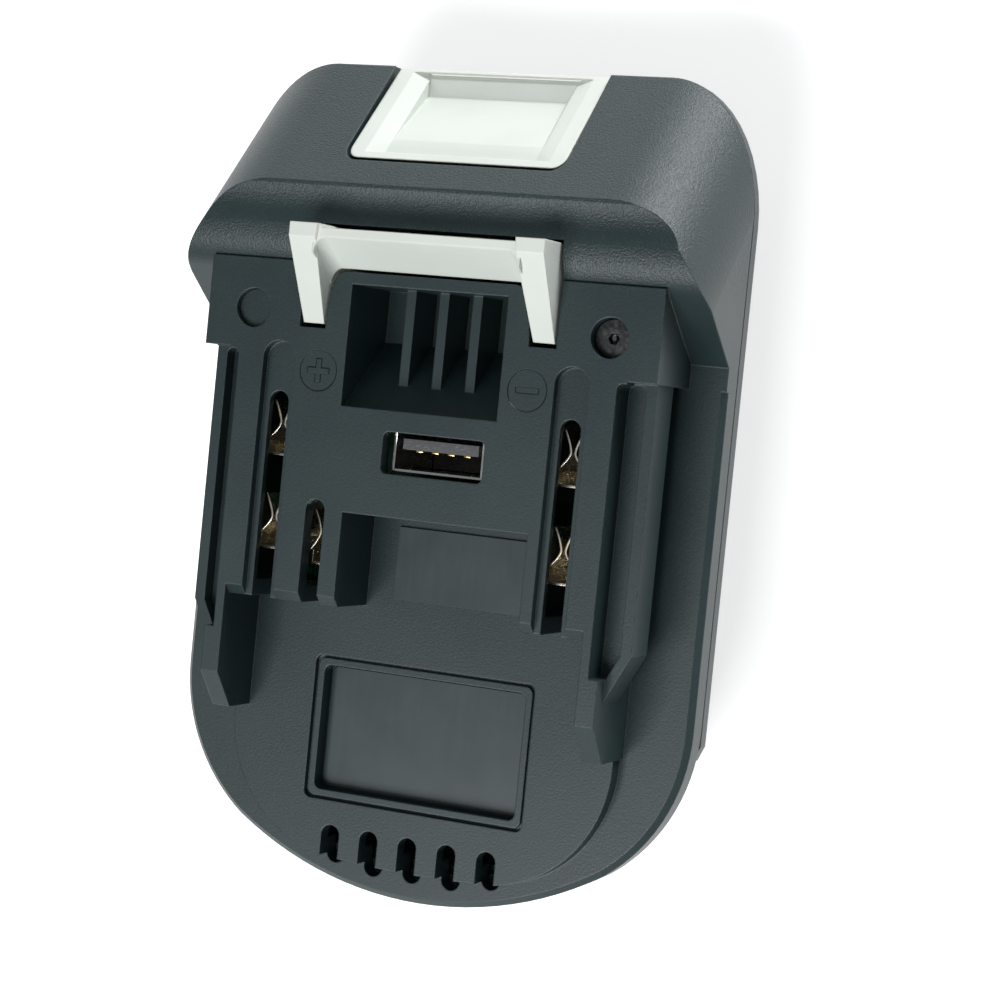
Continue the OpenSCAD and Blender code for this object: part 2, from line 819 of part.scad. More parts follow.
module upper_housing() {
    color(shell_colour)
        difference() {
            union() {
                difference() {
                    upper_outside();
                    upper_cavity();
                }
                upper_wells();
            }
            upper_cuts();
        }
}

// Plan of the lower shell's foot, whose front corners follow the hood where it meets the
// parting plane
function foot_ring(inset) =
    let (half = half_w - inset,
        front = front_y - inset,
        corner_x = hood_corner_r - inset,
        corner_y = corner_x / sin(hood_slope),
        cut_x = 0.85,
        cut_y = 2,
        side = [for (a = [0 : 7.5 : 90])
            [half - corner_x * (1 - cos(a)), front - corner_y * (1 - sin(a))]])
    concat(
        [[half - cut_x, foot_rear_y], [half, foot_rear_y + cut_y]],
        side,
        [for (k = [len(side) - 1 : -1 : 0]) [-side[k].x, side[k].y]],
        [[-half, foot_rear_y + cut_y], [cut_x - half, foot_rear_y]]
    );

module foot_plan(inset) {
    polygon(foot_ring(inset));
}

// Foot of the lower shell: level rings joined by flat faces, tapering below a straight band
module foot() {
    levels = [
        [foot_draft, 0], [0, part_z - band_h], [0, part_z - part_chamfer], [part_chamfer, part_z]
    ];
    n = len(foot_ring(0));
    top = len(levels) - 1;
    polyhedron(
        [for (level = levels, p = foot_ring(level[0])) [p.x, p.y, level[1]]],
        concat(
            [[for (k = [0 : n - 1]) k]],
            [for (ring = [0 : top - 1], k = [0 : n - 1])
                let (a = ring * n + k, b = ring * n + (k + 1) % n)
                [a, a + n, b + n, b]],
            [[for (k = [n - 1 : -1 : 0]) top * n + k]]
        )
    );
}

module lower_outside() {
    foot();
    translate([0, 0, roof_h])
        linear_extrude(height = part_z - roof_h)
            body_outline(heel_inset, foot_rear_y + over);
}

// Room between the channel's roof and the parting line
module lower_cavity() {
    side_t = wall + (part_z - floor_z) * tan(foot_taper);
    translate([0, 0, floor_z])
        linear_extrude(height = part_z - floor_z + over) {
            foot_plan(side_t);
            body_outline(heel_inset + wall, foot_rear_y + over);
        }
    button_room(0);
}

// Room under the button, open to the front
module button_room(grow) {
    half = button_w / 2 + 2 * latch_gap + grow;
    span([-half, button_rear_y - latch_gap, floor_z],
        [half, front_y + over - 2 * grow, part_z + over - grow]);
}

// Front view of the battery channel: mouth, rail grooves and tower
module channel_section() {
    mouth = channel_mouth / 2;
    rail = channel_rail / 2;
    polygon([
        [mouth, -over], [mouth, channel_lip], [rail, channel_lip], [rail, rail_top], [mouth, rail_top],
        [mouth, roof_h], [-mouth, roof_h], [-mouth, rail_top], [-rail, rail_top], [-rail, channel_lip],
        [-mouth, channel_lip], [-mouth, -over]
    ]);
}

module lower_housing() {
    color(shell_colour)
        difference() {
            union() {
                difference() {
                    lower_outside();
                    lower_cavity();
                }
                lower_posts();
            }
            translate([0, terminal_rear_y, 0])
                rotate([90, 0, 180])
                    linear_extrude(height = front_y + over - terminal_rear_y)
                        channel_section();
            lower_holes();
        }
}

// Walls beside the button, catch pocket, screw bosses, board supports and spring posts
module lower_posts() {
    difference() {
        intersection() {
            button_room(well_t);
            foot();
        }
        button_room(0);
    }
    span([-catch_w / 2 - well_t, catch_y - catch_l - well_t, roof_h],
        [catch_w / 2 + well_t, catch_y + well_t, roof_h + catch_d + well_t]);
    for (side = [-1, 1]) {
        translate([side * screw_span / 2, deck_y - screw_y, roof_h])
            cylinder(d = boss_d, h = part_z - roof_h);
        translate([side * rear_screw_span / 2, rear_screw_y, roof_h + 0.5])
            cylinder(d = boss_d, h = part_z - roof_h - 0.5);
        translate([side * spring_span / 2, spring_y, floor_z - 0.5])
            cylinder(d = spring_post_d, h = 3);
        for (y = [board_rear_y + board_post_in, board_front_y - board_post_in])
            translate([side * (board_w / 2 - board_post_in), y, floor_z - 0.5])
                cylinder(d = board_post_d, h = board_lift + 0.5);
    }
}

module lower_holes() {
    pilot_l = 8;
    span([-catch_w / 2, catch_y - catch_l, roof_h - over], [catch_w / 2, catch_y, roof_h + catch_d]);
    for (side = [-1, 1]) {
        translate([side * screw_span / 2, deck_y - screw_y, part_z - pilot_l])
            cylinder(d = screw_d + seat_gap, h = pilot_l + over);
        translate([side * rear_screw_span / 2, rear_screw_y, floor_z])
            cylinder(d = screw_d + seat_gap, h = part_z - floor_z + over);
        for (y = [board_rear_y + board_post_in, board_front_y - board_post_in])
            translate([side * (board_w / 2 - board_post_in), y, floor_z])
                cylinder(d = board_screw_d + seat_gap, h = board_lift + over);
    }
    for (x = blade_xs)
        tab_hole(x, 2 * seat_gap, roof_h - over, floor_z + over);
}

// Upright hole for a blade's tab
module tab_hole(x, gap, low, high) {
    span([x - blade_t / 2 - gap, tab_rear_y - gap, low], [x + blade_t / 2 + gap, tab_front_y + gap, high]);
}

// Side view of the hook bar: sloped towards the rails, upright in front
module hook_bar_profile() {
    polygon([
        [hook_rear_y, carrier_z],
        [hook_rear_y, hook_foot_z],
        [hook_front_y - hook_top, deck_h + hook_rise],
        [hook_front_y, deck_h + hook_rise],
        [hook_front_y, carrier_z]
    ]);
}

// Side view of a hook leg: a long wedge that ends level with the deck
module hook_leg_profile() {
    head_z = deck_h + hook_rise + head_rise;
    polygon([
        [leg_tip_y, carrier_z],
        [leg_tip_y, hook_foot_z],
        [head_y - head_top, head_z],
        [head_y, head_z],
        [head_y, carrier_z]
    ]);
}

// Distance of a leg's inner face from the middle plane: the legs widen towards their heads
function leg_inner_x(y) =
    hook_w / 2 - leg_t - (leg_head_w - leg_t) * (y - leg_tip_y) / (head_y - leg_tip_y);

// Plan of the right leg, or of its way through the deck when it is grown by a gap
module leg_plan(gap) {
    outer_x = hook_w / 2 + gap;
    rear = leg_tip_y - 1.5 * gap;
    front = head_y + gap;
    polygon([
        [leg_inner_x(leg_tip_y) - gap, rear], [outer_x, rear],
        [outer_x, front], [leg_inner_x(head_y) - gap, front]
    ]);
}

// Concave corner between the right leg and the bar, drawn along the bar's slope
module hook_fillet() {
    sink = 0.3;
    // The arc meets both faces at a slight angle
    arc_in = 0.04;
    rise = hook_rise + deck_h - hook_foot_z;
    run = hook_t - hook_top;
    intersection() {
        translate([leg_inner_x(hook_rear_y), hook_rear_y, hook_foot_z])
            rotate([-atan(run / rise), 0, 0])
                translate([0, 0, -hook_fillet_r])
                    linear_extrude(height = rise + 3 * hook_fillet_r)
                        difference() {
                            translate([-hook_fillet_r, -hook_fillet_r])
                                square(hook_fillet_r + sink);
                            translate([arc_in - hook_fillet_r, arc_in - hook_fillet_r])
                                circle(hook_fillet_r);
                        }
        span([0, leg_tip_y, hook_foot_z], [hook_w / 2, hook_front_y, deck_h + hook_rise]);
    }
}

// Round corner of the deck between the leg's way and the bar's way, as a cut
module deck_corner_cut() {
    r = hook_fillet_r + latch_gap;
    corner_y = hook_rear_y - latch_gap;
    corner_x = leg_inner_x(corner_y) - latch_gap;
    difference() {
        translate([corner_x - r, corner_y - r])
            square(r + latch_gap / 2);
        translate([corner_x - r, corner_y - r])
            circle(r);
    }
}

// Plan of the button with round corners, grown by a gap, up to a front edge
module button_plan(gap, front) {
    half = button_w / 2 + gap;
    rear = button_rear_y - gap;
    r = button_corner_r + gap;
    translate([-half, rear + r])
        square([2 * half, front - rear - r]);
    translate([r - half, rear])
        square([2 * (half - r), r + gap]);
    for (side = [-1, 1])
        translate([side * (half - r), rear + r])
            circle(r);
}

// Side view of the button
module button_profile(inset) {
    drop = inset / cos(hood_slope);
    rear = button_rear_y + inset;
    front = button_front_y - inset;
    polygon([
        [rear, button_low_z - (inset > 0 ? over : 0)],
        [rear, button_z(rear) - drop],
        [front, button_z(front) - drop],
        [front, button_low_z - (inset > 0 ? over : 0)]
    ]);
}

// Finger dish: shallow bevels along its sides, and a floor that falls to a level step in front
module button_dish() {
    dish_half = button_w / 2 - button_rim;
    front = button_front_y - front_rim;
    step = front - dish_step_l;
    rear = button_rear_y + rear_rim;
    step_z = button_z(step) - dish_d / cos(hood_slope);
    across(2 * (dish_half - dish_bevel_w))
        polygon([
            [front, step_z], [step, step_z], [rear, button_z(rear) - dish_rear_d / cos(hood_slope)],
            [rear, button_z(rear) + over], [front, button_z(front) + over]
        ]);
    face_tilt = atan((button_z(rear) - button_z(front)) / (front - rear));
    intersection() {
        translate([0, front, button_z(front)])
            rotate([90 - face_tilt, 0, 0])
                linear_extrude(height = 4 * (front - rear), center = true)
                    polygon([
                        [dish_half - dish_bevel_w, -dish_bevel_d], [dish_half, 0], [dish_half, over],
                        [-dish_half, over], [-dish_half, 0], [dish_bevel_w - dish_half, -dish_bevel_d]
                    ]);
        span([-dish_half, rear, 0], [dish_half, front, ridge_z + over]);
    }
}

// Button and hook: one moulding, joined inside the hood by a carrier plate
module latch_button() {
    neck_half = button_w / 2 - button_corner_r - latch_gap;
    color(latch_colour) {
        difference() {
            intersection() {
                across(button_w)
                    button_profile(0);
                linear_extrude(height = ridge_z)
                    button_plan(0, front_y);
            }
            across(button_w - 2 * button_t)
                button_profile(button_t + dish_d);
            button_dish();
        }
        across(hook_w)
            hook_bar_profile();
        both_sides() {
            intersection() {
                translate([hook_w / 2 - leg_head_w / 2, 0, 0])
                    across(leg_head_w)
                        hook_leg_profile();
                linear_extrude(height = ridge_z + hook_rise + head_rise)
                    leg_plan(0);
            }
            hook_fillet();
        }
        span([-button_w / 2, hook_rear_y, carrier_z],
            [button_w / 2, button_rear_y - button_corner_r, carrier_z + carrier_t]);
        span([-neck_half, button_rear_y - button_corner_r, carrier_z],
            [neck_half, button_rear_y + button_t, carrier_z + carrier_t]);
        // Stops that meet the chamber's roof
        for (side = [-1, 1])
            translate([side * (button_w / 2 - 2), spring_y, carrier_z])
                cylinder(d = 3, h = chamber_roof_z - latch_gap - carrier_z);
    }
}

// Round wire wound as a helix that stands on z = 0
module coil_spring(outer_d, wire, turns, height) {
    sides = 8;
    rings = ceil(turns * 14);
    mean_r = (outer_d - wire) / 2;
    points = [
        for (k = [0 : rings], s = [0 : sides - 1])
            let (turn = 360 * turns * k / rings,
                around = 360 * s / sides,
                rise = wire / 2 + (height - wire) * k / rings,
                r = mean_r + wire / 2 * cos(around))
            [r * cos(turn), r * sin(turn), rise + wire / 2 * sin(around)]
    ];
    skin = [
        for (k = [0 : rings - 1], s = [0 : sides - 1])
            let (a = k * sides + s, b = k * sides + (s + 1) % sides)
            [a, a + sides, b + sides, b]
    ];
    start_cap = [[for (s = [0 : sides - 1]) s]];
    end_cap = [[for (s = [sides - 1 : -1 : 0]) rings * sides + s]];
    polyhedron(points, concat(skin, start_cap, end_cap));
}

module latch_springs() {
    color(metal_colour)
        for (side = [-1, 1])
            translate([side * spring_span / 2, spring_y, floor_z + seat_gap])
                coil_spring(spring_d, spring_wire, spring_turns, carrier_z - floor_z - 2 * seat_gap);
}

module circuit_board() {
    color([0.10, 0.35, 0.20])
        difference() {
            span([-board_w / 2, board_rear_y, board_z], [board_w / 2, board_front_y, board_top_z]);
            for (side = [-1, 1], y = [board_rear_y + board_post_in, board_front_y - board_post_in])
                translate([side * (board_w / 2 - board_post_in), y, board_z - over])
                    cylinder(d = board_screw_d + 0.4, h = board_t + 2 * over);
            for (x = blade_xs)
                tab_hole(x, seat_gap, board_z - over, board_top_z + over);
            // Room for the rear screw columns, where the board reaches them
            for (side = [-1, 1])
                translate([side * rear_screw_span / 2, rear_screw_y, board_z - over])
                    cylinder(d = column_d + 2 * latch_gap, h = board_t + 2 * over);
        }
}

// Distance of a contact leaf from the middle plane, y from the pinch
function leaf_x(y, rear_flare) =
    0.12 + (y > 0 ? leaf_front_flare * pow(y / leaf_front_l, 1.5)
        : rear_flare * pow(-y / leaf_rear_l, 1.5));

// Two facing leaves that pinch the tool's blade, joined behind by an upright back on a
// soldered base
module spring_contact(x, y, rear_flare) {
    steps = 16;
    length = leaf_front_l + leaf_rear_l;
    ys = [for (k = [0 : steps]) length * k / steps - leaf_rear_l];
    back_x = leaf_x(-leaf_rear_l, rear_flare);
    back_l = 1.6;
    back_top_z = leaf_top_z - 0.9;
    rear = -leaf_rear_l - back_l;
    color(metal_colour)
        translate([x, deck_y - y, 0]) {
            both_sides() {
                translate([0, 0, leaf_top_z - leaf_h])
                    linear_extrude(height = leaf_h)
                        polygon(concat(
                            [for (v = ys) [leaf_x(v, rear_flare), v]],
                            [for (k = [steps : -1 : 0]) [leaf_x(ys[k], rear_flare) + leaf_t, ys[k]]]
                        ));
                span([back_x, rear, board_top_z], [back_x + leaf_t, -leaf_rear_l, back_top_z]);
            }
            span([-back_x - leaf_t, rear - leaf_t, board_top_z], [back_x + leaf_t, rear, back_top_z]);
            span([-back_x - leaf_t, rear - leaf_t, board_top_z],
                [back_x + leaf_t, leaf_front_l - 1, board_top_z + 2 * leaf_t]);
        }
}

module contact_positive_front() spring_contact(-contact_x, front_contact_y, leaf_rear_flare);
module contact_positive_rear() spring_contact(-contact_x, rear_contact_y, leaf_rear_flare);
module contact_negative_front() spring_contact(contact_x, front_contact_y, leaf_rear_flare);
module contact_negative_rear() spring_contact(contact_x, rear_contact_y, leaf_rear_flare);
module contact_signal() spring_contact(-signal_x, rear_contact_y + 1.3, signal_flare);

module usb_shell() {
    color([0.80, 0.80, 0.80])
        translate([usb_x, usb_shell_y, board_top_z])
            difference() {
                translate([-usb_w / 2, -usb_t / 2, 0])
                    cube([usb_w, usb_t, usb_top_z - board_top_z]);
                translate([-usb_w / 2 + usb_wall, -usb_t / 2 + usb_wall, -over])
                    cube([usb_w - 2 * usb_wall, usb_t - 2 * usb_wall, usb_top_z - board_top_z + 2 * over]);
            }
}

// Insulator of the socket: a base that fills the shell, with the tongue standing on it
module usb_tongue() {
    inner_w = usb_w - 2 * usb_wall - 2 * seat_gap;
    inner_t = usb_t - 2 * usb_wall - 2 * seat_gap;
    color([0.25, 0.26, 0.27])
        translate([usb_x, usb_shell_y, board_top_z]) {
            translate([-inner_w / 2, -inner_t / 2, 0])
                cube([inner_w, inner_t, usb_base_h]);
            translate([-tongue_w / 2, tongue_off - tongue_t / 2, usb_base_h - over / 2])
                cube([tongue_w, tongue_t, tongue_top_z - board_top_z - usb_base_h + over / 2]);
        }
}

module usb_pins() {
    pin_w = 1;
    pin_t = 0.25;
    pin_pitch = 2.3;
    pin_y = usb_shell_y + tongue_off - tongue_t / 2 - pin_t;
    color([0.85, 0.70, 0.35])
        for (k = [-1.5 : 1 : 1.5])
            translate([usb_x + k * pin_pitch - pin_w / 2, pin_y, board_top_z + usb_base_h])
                cube([pin_w, pin_t, tongue_top_z - board_top_z - usb_base_h - 1]);
}

module inductor_core() {
    color([0.15, 0.15, 0.16])
        translate([coil_x, coil_y, board_top_z])
            rotate_extrude()
                polygon([
                    [0, 0], [coil_d / 2, 0], [coil_d / 2, coil_flange], [coil_d / 4, coil_flange],
                    [coil_d / 4, coil_h - coil_flange], [coil_d / 2, coil_h - coil_flange],
                    [coil_d / 2, coil_h], [0, coil_h]
                ]);
}

module inductor_coil() {
    color([0.72, 0.40, 0.20])
        translate([coil_x, coil_y, board_top_z + coil_flange])
            difference() {
                cylinder(d = coil_d - 0.8, h = coil_h - 2 * coil_flange);
                translate([0, 0, -over])
                    cylinder(d = coil_d / 2 + seat_gap, h = coil_h + 2 * over);
            }
}

module capacitors() {
    color([0.75, 0.76, 0.78])
        for (k = [0, 1])
            translate([can_from_signal - signal_x + k * can_pitch, coil_y, board_top_z])
                cylinder(d = can_d, h = can_h);
}

module regulator_chip() {
    color([0.12, 0.12, 0.13])
        translate([(blade_span + blade_t) / 2 + chip_gap, coil_y - chip_l / 2, board_top_z])
            cube([chip_w, chip_l, chip_h]);
}

module terminal_block() {
    slot_half = blade_t / 2 + seat_gap;
    color([0.14, 0.14, 0.15])
        difference() {
            span([-terminal_w / 2, terminal_rear_y, channel_lip + 1],
                [terminal_w / 2, terminal_front_y, roof_h]);
            for (x = blade_xs) {
                span([x - slot_half, tab_rear_y - seat_gap, blade_z - blade_h / 2 - seat_gap],
                    [x + slot_half, terminal_front_y + over, blade_z + blade_h / 2 + seat_gap]);
                tab_hole(x, seat_gap, blade_z, roof_h + over);
            }
        }
}

// Blade that stands out of the terminal block, with an upright tab soldered into the board
module blade(x) {
    tip = 1.2;
    color(metal_colour)
        translate([x, 0, 0])
            across(blade_t)
                polygon([
                    [tab_rear_y, board_top_z + 0.8],
                    [tab_front_y, board_top_z + 0.8],
                    [tab_front_y, blade_z + blade_h / 2],
                    [terminal_front_y + blade_l - tip, blade_z + blade_h / 2],
                    [terminal_front_y + blade_l, blade_z + blade_h / 2 - tip],
                    [terminal_front_y + blade_l, blade_z - blade_h / 2 + tip],
                    [terminal_front_y + blade_l - tip, blade_z - blade_h / 2],
                    [tab_rear_y, blade_z - blade_h / 2]
                ]);
}

module blade_positive() blade(-blade_span / 2);
module blade_negative() blade(blade_span / 2);
module blade_sense_left() blade(-sense_span / 2);
module blade_sense_right() blade(sense_span / 2);

module rating_plate() {
    color([0.13, 0.14, 0.15])
        translate([0, plate_rear_y + plate_l / 2, plate_floor_z])
            linear_extrude(height = plate_t)
                round_rect(plate_w - 2 * plate_margin, plate_l - 2 * plate_margin,
                    plate_corner_r - plate_margin);
}

module usb_plate() {
    plate_from_left = 4;
    color([0.13, 0.14, 0.15])
        span([-notch_left + plate_from_left, block_rear_y, notch_floor_z],
            [notch_right - plate_margin, notch_front_y - 1.5, notch_floor_z + plate_t]);
}

// Pan-head screw standing on z = 0 at the underside of its head
module pan_screw(head_d, head_h, shank_d, shank_l, socket_d) {
    difference() {
        union() {
            cylinder(d = head_d, h = head_h);
            translate([0, 0, -shank_l])
                cylinder(d = shank_d, h = shank_l + head_h / 2);
        }
        translate([0, 0, head_h * 0.45])
            cylinder(d = socket_d, h = head_h, $fn = 6);
    }
}

module housing_screws() {
    deck_screw_l = deck_h - screw_recess_h - part_z + 7;
    rear_screw_l = plate_floor_z - screw_head_h - part_z + 6;
    color([0.16, 0.17, 0.18])
        for (side = [-1, 1]) {
            translate([side * screw_span / 2, deck_y - screw_y, deck_h - screw_recess_h])
                pan_screw(screw_head_d, screw_head_h, screw_d, deck_screw_l, screw_socket_d);
            translate([side * rear_screw_span / 2, rear_screw_y, plate_floor_z - screw_head_h])
                pan_screw(screw_head_d, screw_head_h - 2 * seat_gap, screw_d, rear_screw_l,
                    screw_socket_d);
        }
}

module board_screws() {
    color(metal_colour)
        for (side = [-1, 1], y = [board_rear_y + board_post_in, board_front_y - board_post_in])
            translate([side * (board_w / 2 - board_post_in), y, board_top_z])
                pan_screw(3.6, 1.3, board_screw_d, board_t + board_lift - 1, 1.4);
}

module screw_plug() {
    color(shell_colour)
        translate([-screw_span / 2, deck_y - screw_y, deck_h - screw_recess_h + screw_head_h])
            cylinder(d = screw_recess_d - seat_gap, h = plug_h);
}

upper_housing();
lower_housing();
latch_button();
latch_springs();
circuit_board();
contact_positive_front();
contact_positive_rear();
contact_negative_front();
contact_negative_rear();
contact_signal();
usb_shell();
usb_tongue();
usb_pins();
inductor_core();
inductor_coil();
capacitors();
regulator_chip();
terminal_block();
blade_positive();
blade_negative();
blade_sense_left();
blade_sense_right();
rating_plate();
usb_plate();
housing_screws();
board_screws();
screw_plug();
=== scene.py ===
# %% [markdown]
# # Tool battery adapter
# The adapter slides onto a cordless tool by the rails on its top and takes a battery pack in the
# channel underneath. The solids come from the imported model. This lesson gives each material its
# finish, rounds the edges, adds moulded signs, screw pins and stand-in springs, and lights the
# result.

# %% Load the imported model
import json
import math

import bmesh
import bpy
from mathutils import Matrix, Vector


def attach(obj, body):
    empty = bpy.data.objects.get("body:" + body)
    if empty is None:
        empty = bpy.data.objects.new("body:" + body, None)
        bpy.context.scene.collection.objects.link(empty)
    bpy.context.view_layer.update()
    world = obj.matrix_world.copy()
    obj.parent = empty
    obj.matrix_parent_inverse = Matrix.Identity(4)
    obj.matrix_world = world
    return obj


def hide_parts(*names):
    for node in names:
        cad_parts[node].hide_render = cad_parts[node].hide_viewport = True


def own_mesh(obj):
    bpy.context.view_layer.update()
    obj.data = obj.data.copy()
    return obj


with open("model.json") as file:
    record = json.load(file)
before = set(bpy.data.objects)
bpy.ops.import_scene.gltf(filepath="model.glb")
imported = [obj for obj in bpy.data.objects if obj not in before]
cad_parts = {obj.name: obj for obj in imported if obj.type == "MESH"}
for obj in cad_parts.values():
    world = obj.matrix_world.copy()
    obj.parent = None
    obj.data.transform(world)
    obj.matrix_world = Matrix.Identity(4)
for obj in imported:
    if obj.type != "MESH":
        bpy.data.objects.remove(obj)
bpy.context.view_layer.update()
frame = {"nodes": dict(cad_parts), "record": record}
nodes = frame["nodes"]
MM = 0.001
SCREW_X, SCREW_Y = 25.5 * MM, 21.35 * MM    # axis of the right deck screw; the left one mirrors it
SIGN_X, SIGN_Y = 15.0 * MM, 13.8 * MM       # middle of the right sign; the left one mirrors it

# %% [markdown]
# ## Camera
# The picture is taken from above, a little from the right side, with a long lens. A camera can be
# aimed with a constraint, but here its three axes are known from the deck's square features, so
# they are written straight into its matrix.

# %% Camera
lens = bpy.data.cameras.new("long_lens")
lens.sensor_width = 36
lens.lens = 90.856
camera = bpy.data.objects.new("camera", lens)
bpy.context.scene.collection.objects.link(camera)
right = Vector((0.9139841, 0.0982115, -0.3936846))
up = Vector((-0.1054392, 0.9944203, 0.0032862))
back = Vector((0.3918107, 0.0385063, 0.9192397))
place = Vector((0.13913518, 0.01199217, 0.33851125))
camera.matrix_world = Matrix.Translation(place) @ Matrix((right, up, back)).transposed().to_4x4()
bpy.context.scene.camera = camera
bpy.context.scene.view_settings.view_transform = "Standard"
print("camera stands", round(place.length, 3), "m from the origin")

# %% [markdown]
# ## Shader sums in plain Python
# A finish is a small sum over textures: some noise here, a mask there. Clicking the nodes together
# hides the sum, so a class wraps one socket, and the usual operators add the Math nodes. Any other
# node comes from the one method `node`: its type, its settings, then its sockets.

# %% The socket wrapper
class Wire:
    """An output socket of a material. Sums on wires add Math nodes to its tree."""

    def __init__(self, tree, socket=None):
        self.tree, self.socket = tree, socket

    def node(self, kind, settings=None, sockets=None, out=0):
        made = self.tree.nodes.new("ShaderNode" + kind)
        for name, value in (settings or {}).items():
            setattr(made, name, value)
        for name, value in (sockets or {}).items():
            if isinstance(value, Wire):
                self.tree.links.new(value.socket, made.inputs[name])
            else:
                made.inputs[name].default_value = value
        return Wire(self.tree, made.outputs[out] if made.outputs else None)

    def math(self, operation, *terms, clamp=False):
        return self.node("Math", {"operation": operation, "use_clamp": clamp}, dict(enumerate(terms)))

    def __add__(self, other): return self.math("ADD", self, other)
    def __radd__(self, other): return self.math("ADD", other, self)
    def __sub__(self, other): return self.math("SUBTRACT", self, other)
    def __rsub__(self, other): return self.math("SUBTRACT", other, self)
    def __mul__(self, other): return self.math("MULTIPLY", self, other)
    def __rmul__(self, other): return self.math("MULTIPLY", other, self)
    def __truediv__(self, other): return self.math("DIVIDE", self, other)
    def __pow__(self, other): return self.math("POWER", self, other)
    def __abs__(self): return self.math("ABSOLUTE", self)
    def __lt__(self, other): return self.math("LESS_THAN", self, other)
    def __gt__(self, other): return self.math("GREATER_THAN", self, other)

    def ramp(self, low, high):
        """0 below low, 1 above high, and a soft step between."""
        return self.node("MapRange", {"interpolation_type": "SMOOTHSTEP"},
                         {"Value": self, "From Min": low, "From Max": high})

    def tint(self, low, high):
        """A colour that goes from low to high as this mask goes from 0 to 1."""
        return self.node("Mix", {"data_type": "RGBA"}, {0: self, 6: low, 7: high}, 2)

    def stretch(self, x, y, z):
        return self.node("VectorMath", {"operation": "MULTIPLY"}, {0: self, 1: (x, y, z)})

    def noise(self, scale, detail=2.0, roughness=0.5):
        return self.node("TexNoise", None, {"Vector": self, "Scale": scale, "Detail": detail,
                                            "Roughness": roughness})

    def cells(self, scale):
        """Distance to the nearest of some scattered points."""
        return self.node("TexVoronoi", {"feature": "F1"}, {"Vector": self, "Scale": scale})

    def relief(self, height, depth, strength=1.0, over=None):
        """Normal of a surface with this relief, depth in metres, laid over another normal."""
        sockets = {"Height": height, "Distance": depth, "Strength": strength}
        if over:
            sockets["Normal"] = over
        return self.node("Bump", None, sockets)

    def axes(self):
        """The three parts of a vector."""
        parts = self.node("SeparateXYZ", None, {0: self}).socket.node
        return [Wire(self.tree, socket) for socket in parts.outputs]


def colour(red, green, blue):
    return (red, green, blue, 1.0)


def start(name):
    """A new material, a wire into its tree, and the wire of its object coordinates in metres."""
    made = bpy.data.materials.new(name)
    made.use_nodes = True
    made.node_tree.nodes.clear()
    tree = Wire(made.node_tree)
    return made, tree, tree.node("TexCoord", None, None, "Object")


def close(tree, **sockets):
    """The Principled shader with these sockets, wired to the output."""
    names = {key.replace("_", " ").title(): value for key, value in sockets.items()}
    tree.node("OutputMaterial", None, {"Surface": tree.node("BsdfPrincipled", None, names)})


print("wrapper ready")

# %% [markdown]
# ## Where the edges are
# Moulded corners catch the light and get rubbed bright first. Painting them by hand would take a
# mask for every piece. The Bevel node gives the normal that a rounded edge would have, so where it
# differs from the true normal there is an edge, on any piece and at any size. The same normal,
# laid under a relief, also rounds the corners of a piece whose mesh stays sharp.

# %% Edge mask
def edge_mask(tree, radius, low=0.02, high=0.25):
    soft = tree.node("Bevel", {"samples": 4}, {"Radius": radius})
    true = tree.node("NewGeometry", None, None, "True Normal")
    same = tree.node("VectorMath", {"operation": "DOT_PRODUCT"}, {0: soft, 1: true}, "Value")
    return (1 - same).ramp(low, high)


print("edge mask ready")

# %% [markdown]
# ## Charcoal housing
# Both shells are glass-filled nylon, moulded in a tool whose faces are spark eroded. That leaves a
# fine even grain, a satin gloss and a colour that is grey rather than black. The grain is a small
# relief, coarser on the hood that the hand grips than on the deck. The gloss wanders a little over
# each face, and the edges are painted lighter, partly as rubbing wear and partly as a painted
# highlight. Beside the power slots the tool also leaves a shallow disc: with a raised plus on the
# left, and with a sunk bar on the right.

# %% Moulded signs
def moulded_signs(at):
    """Height of the deck: 1 outside the discs and on the plus, 0 in the discs, -1 in the bar."""
    x, y, z = at.axes()
    across, along = abs(abs(x) - SIGN_X), abs(y - SIGN_Y)

    def bar(long_way, short_way):
        return (1 - long_way.ramp(1.5 * MM, 1.7 * MM)) * (1 - short_way.ramp(0.3 * MM, 0.5 * MM))

    disc = 1 - ((across ** 2 + along ** 2) ** 0.5).ramp(2.6 * MM, 2.8 * MM)
    plus = bar(across, along).math("MAXIMUM", bar(across, along), bar(along, across))
    sign = (x < 0) * plus - (x > 0) * bar(across, along)
    on_deck = z > 41.5 * MM
    return 1 - on_deck * (disc - sign)


print("signs ready")

# %% Housing finish
housing, t, at = start("charcoal_shell")
pebble = at.noise(3400, 2.0, 0.6)
grit = at.noise(7000, 1.0)
hood = at.axes()[1].ramp(27 * MM, 31 * MM)
cloud = at.noise(55, 3.0)
# Lighter edges: partly rubbing wear, partly a painted highlight along the edges.
rubbed_and_highlit_edges = edge_mask(t, 0.35 * MM) * at.noise(900, 3.0).ramp(0.3, 0.62)
soft_corner = t.node("Bevel", {"samples": 6}, {"Radius": 0.25 * MM})
grain = (pebble * 0.7 + grit * 0.3) * (0.25 + 0.75 * hood)
body_tone = (cloud * 0.6 + pebble * 0.4).ramp(0.3, 0.7)
body_tone = body_tone.tint(colour(0.012, 0.025, 0.028), colour(0.019, 0.036, 0.038))
signed = t.relief(moulded_signs(at), 0.30 * MM, 1.0, soft_corner)
close(t,
      base_color=(rubbed_and_highlit_edges * 0.5).tint(body_tone, colour(0.085, 0.100, 0.100)),
      roughness=0.42 + 0.10 * (cloud - 0.5) + 0.10 * (pebble - 0.5) - 0.06 * rubbed_and_highlit_edges,
      normal=t.relief(grain, 0.14 * MM, 0.9, signed))
print("housing finish:", len(housing.node_tree.nodes), "nodes")
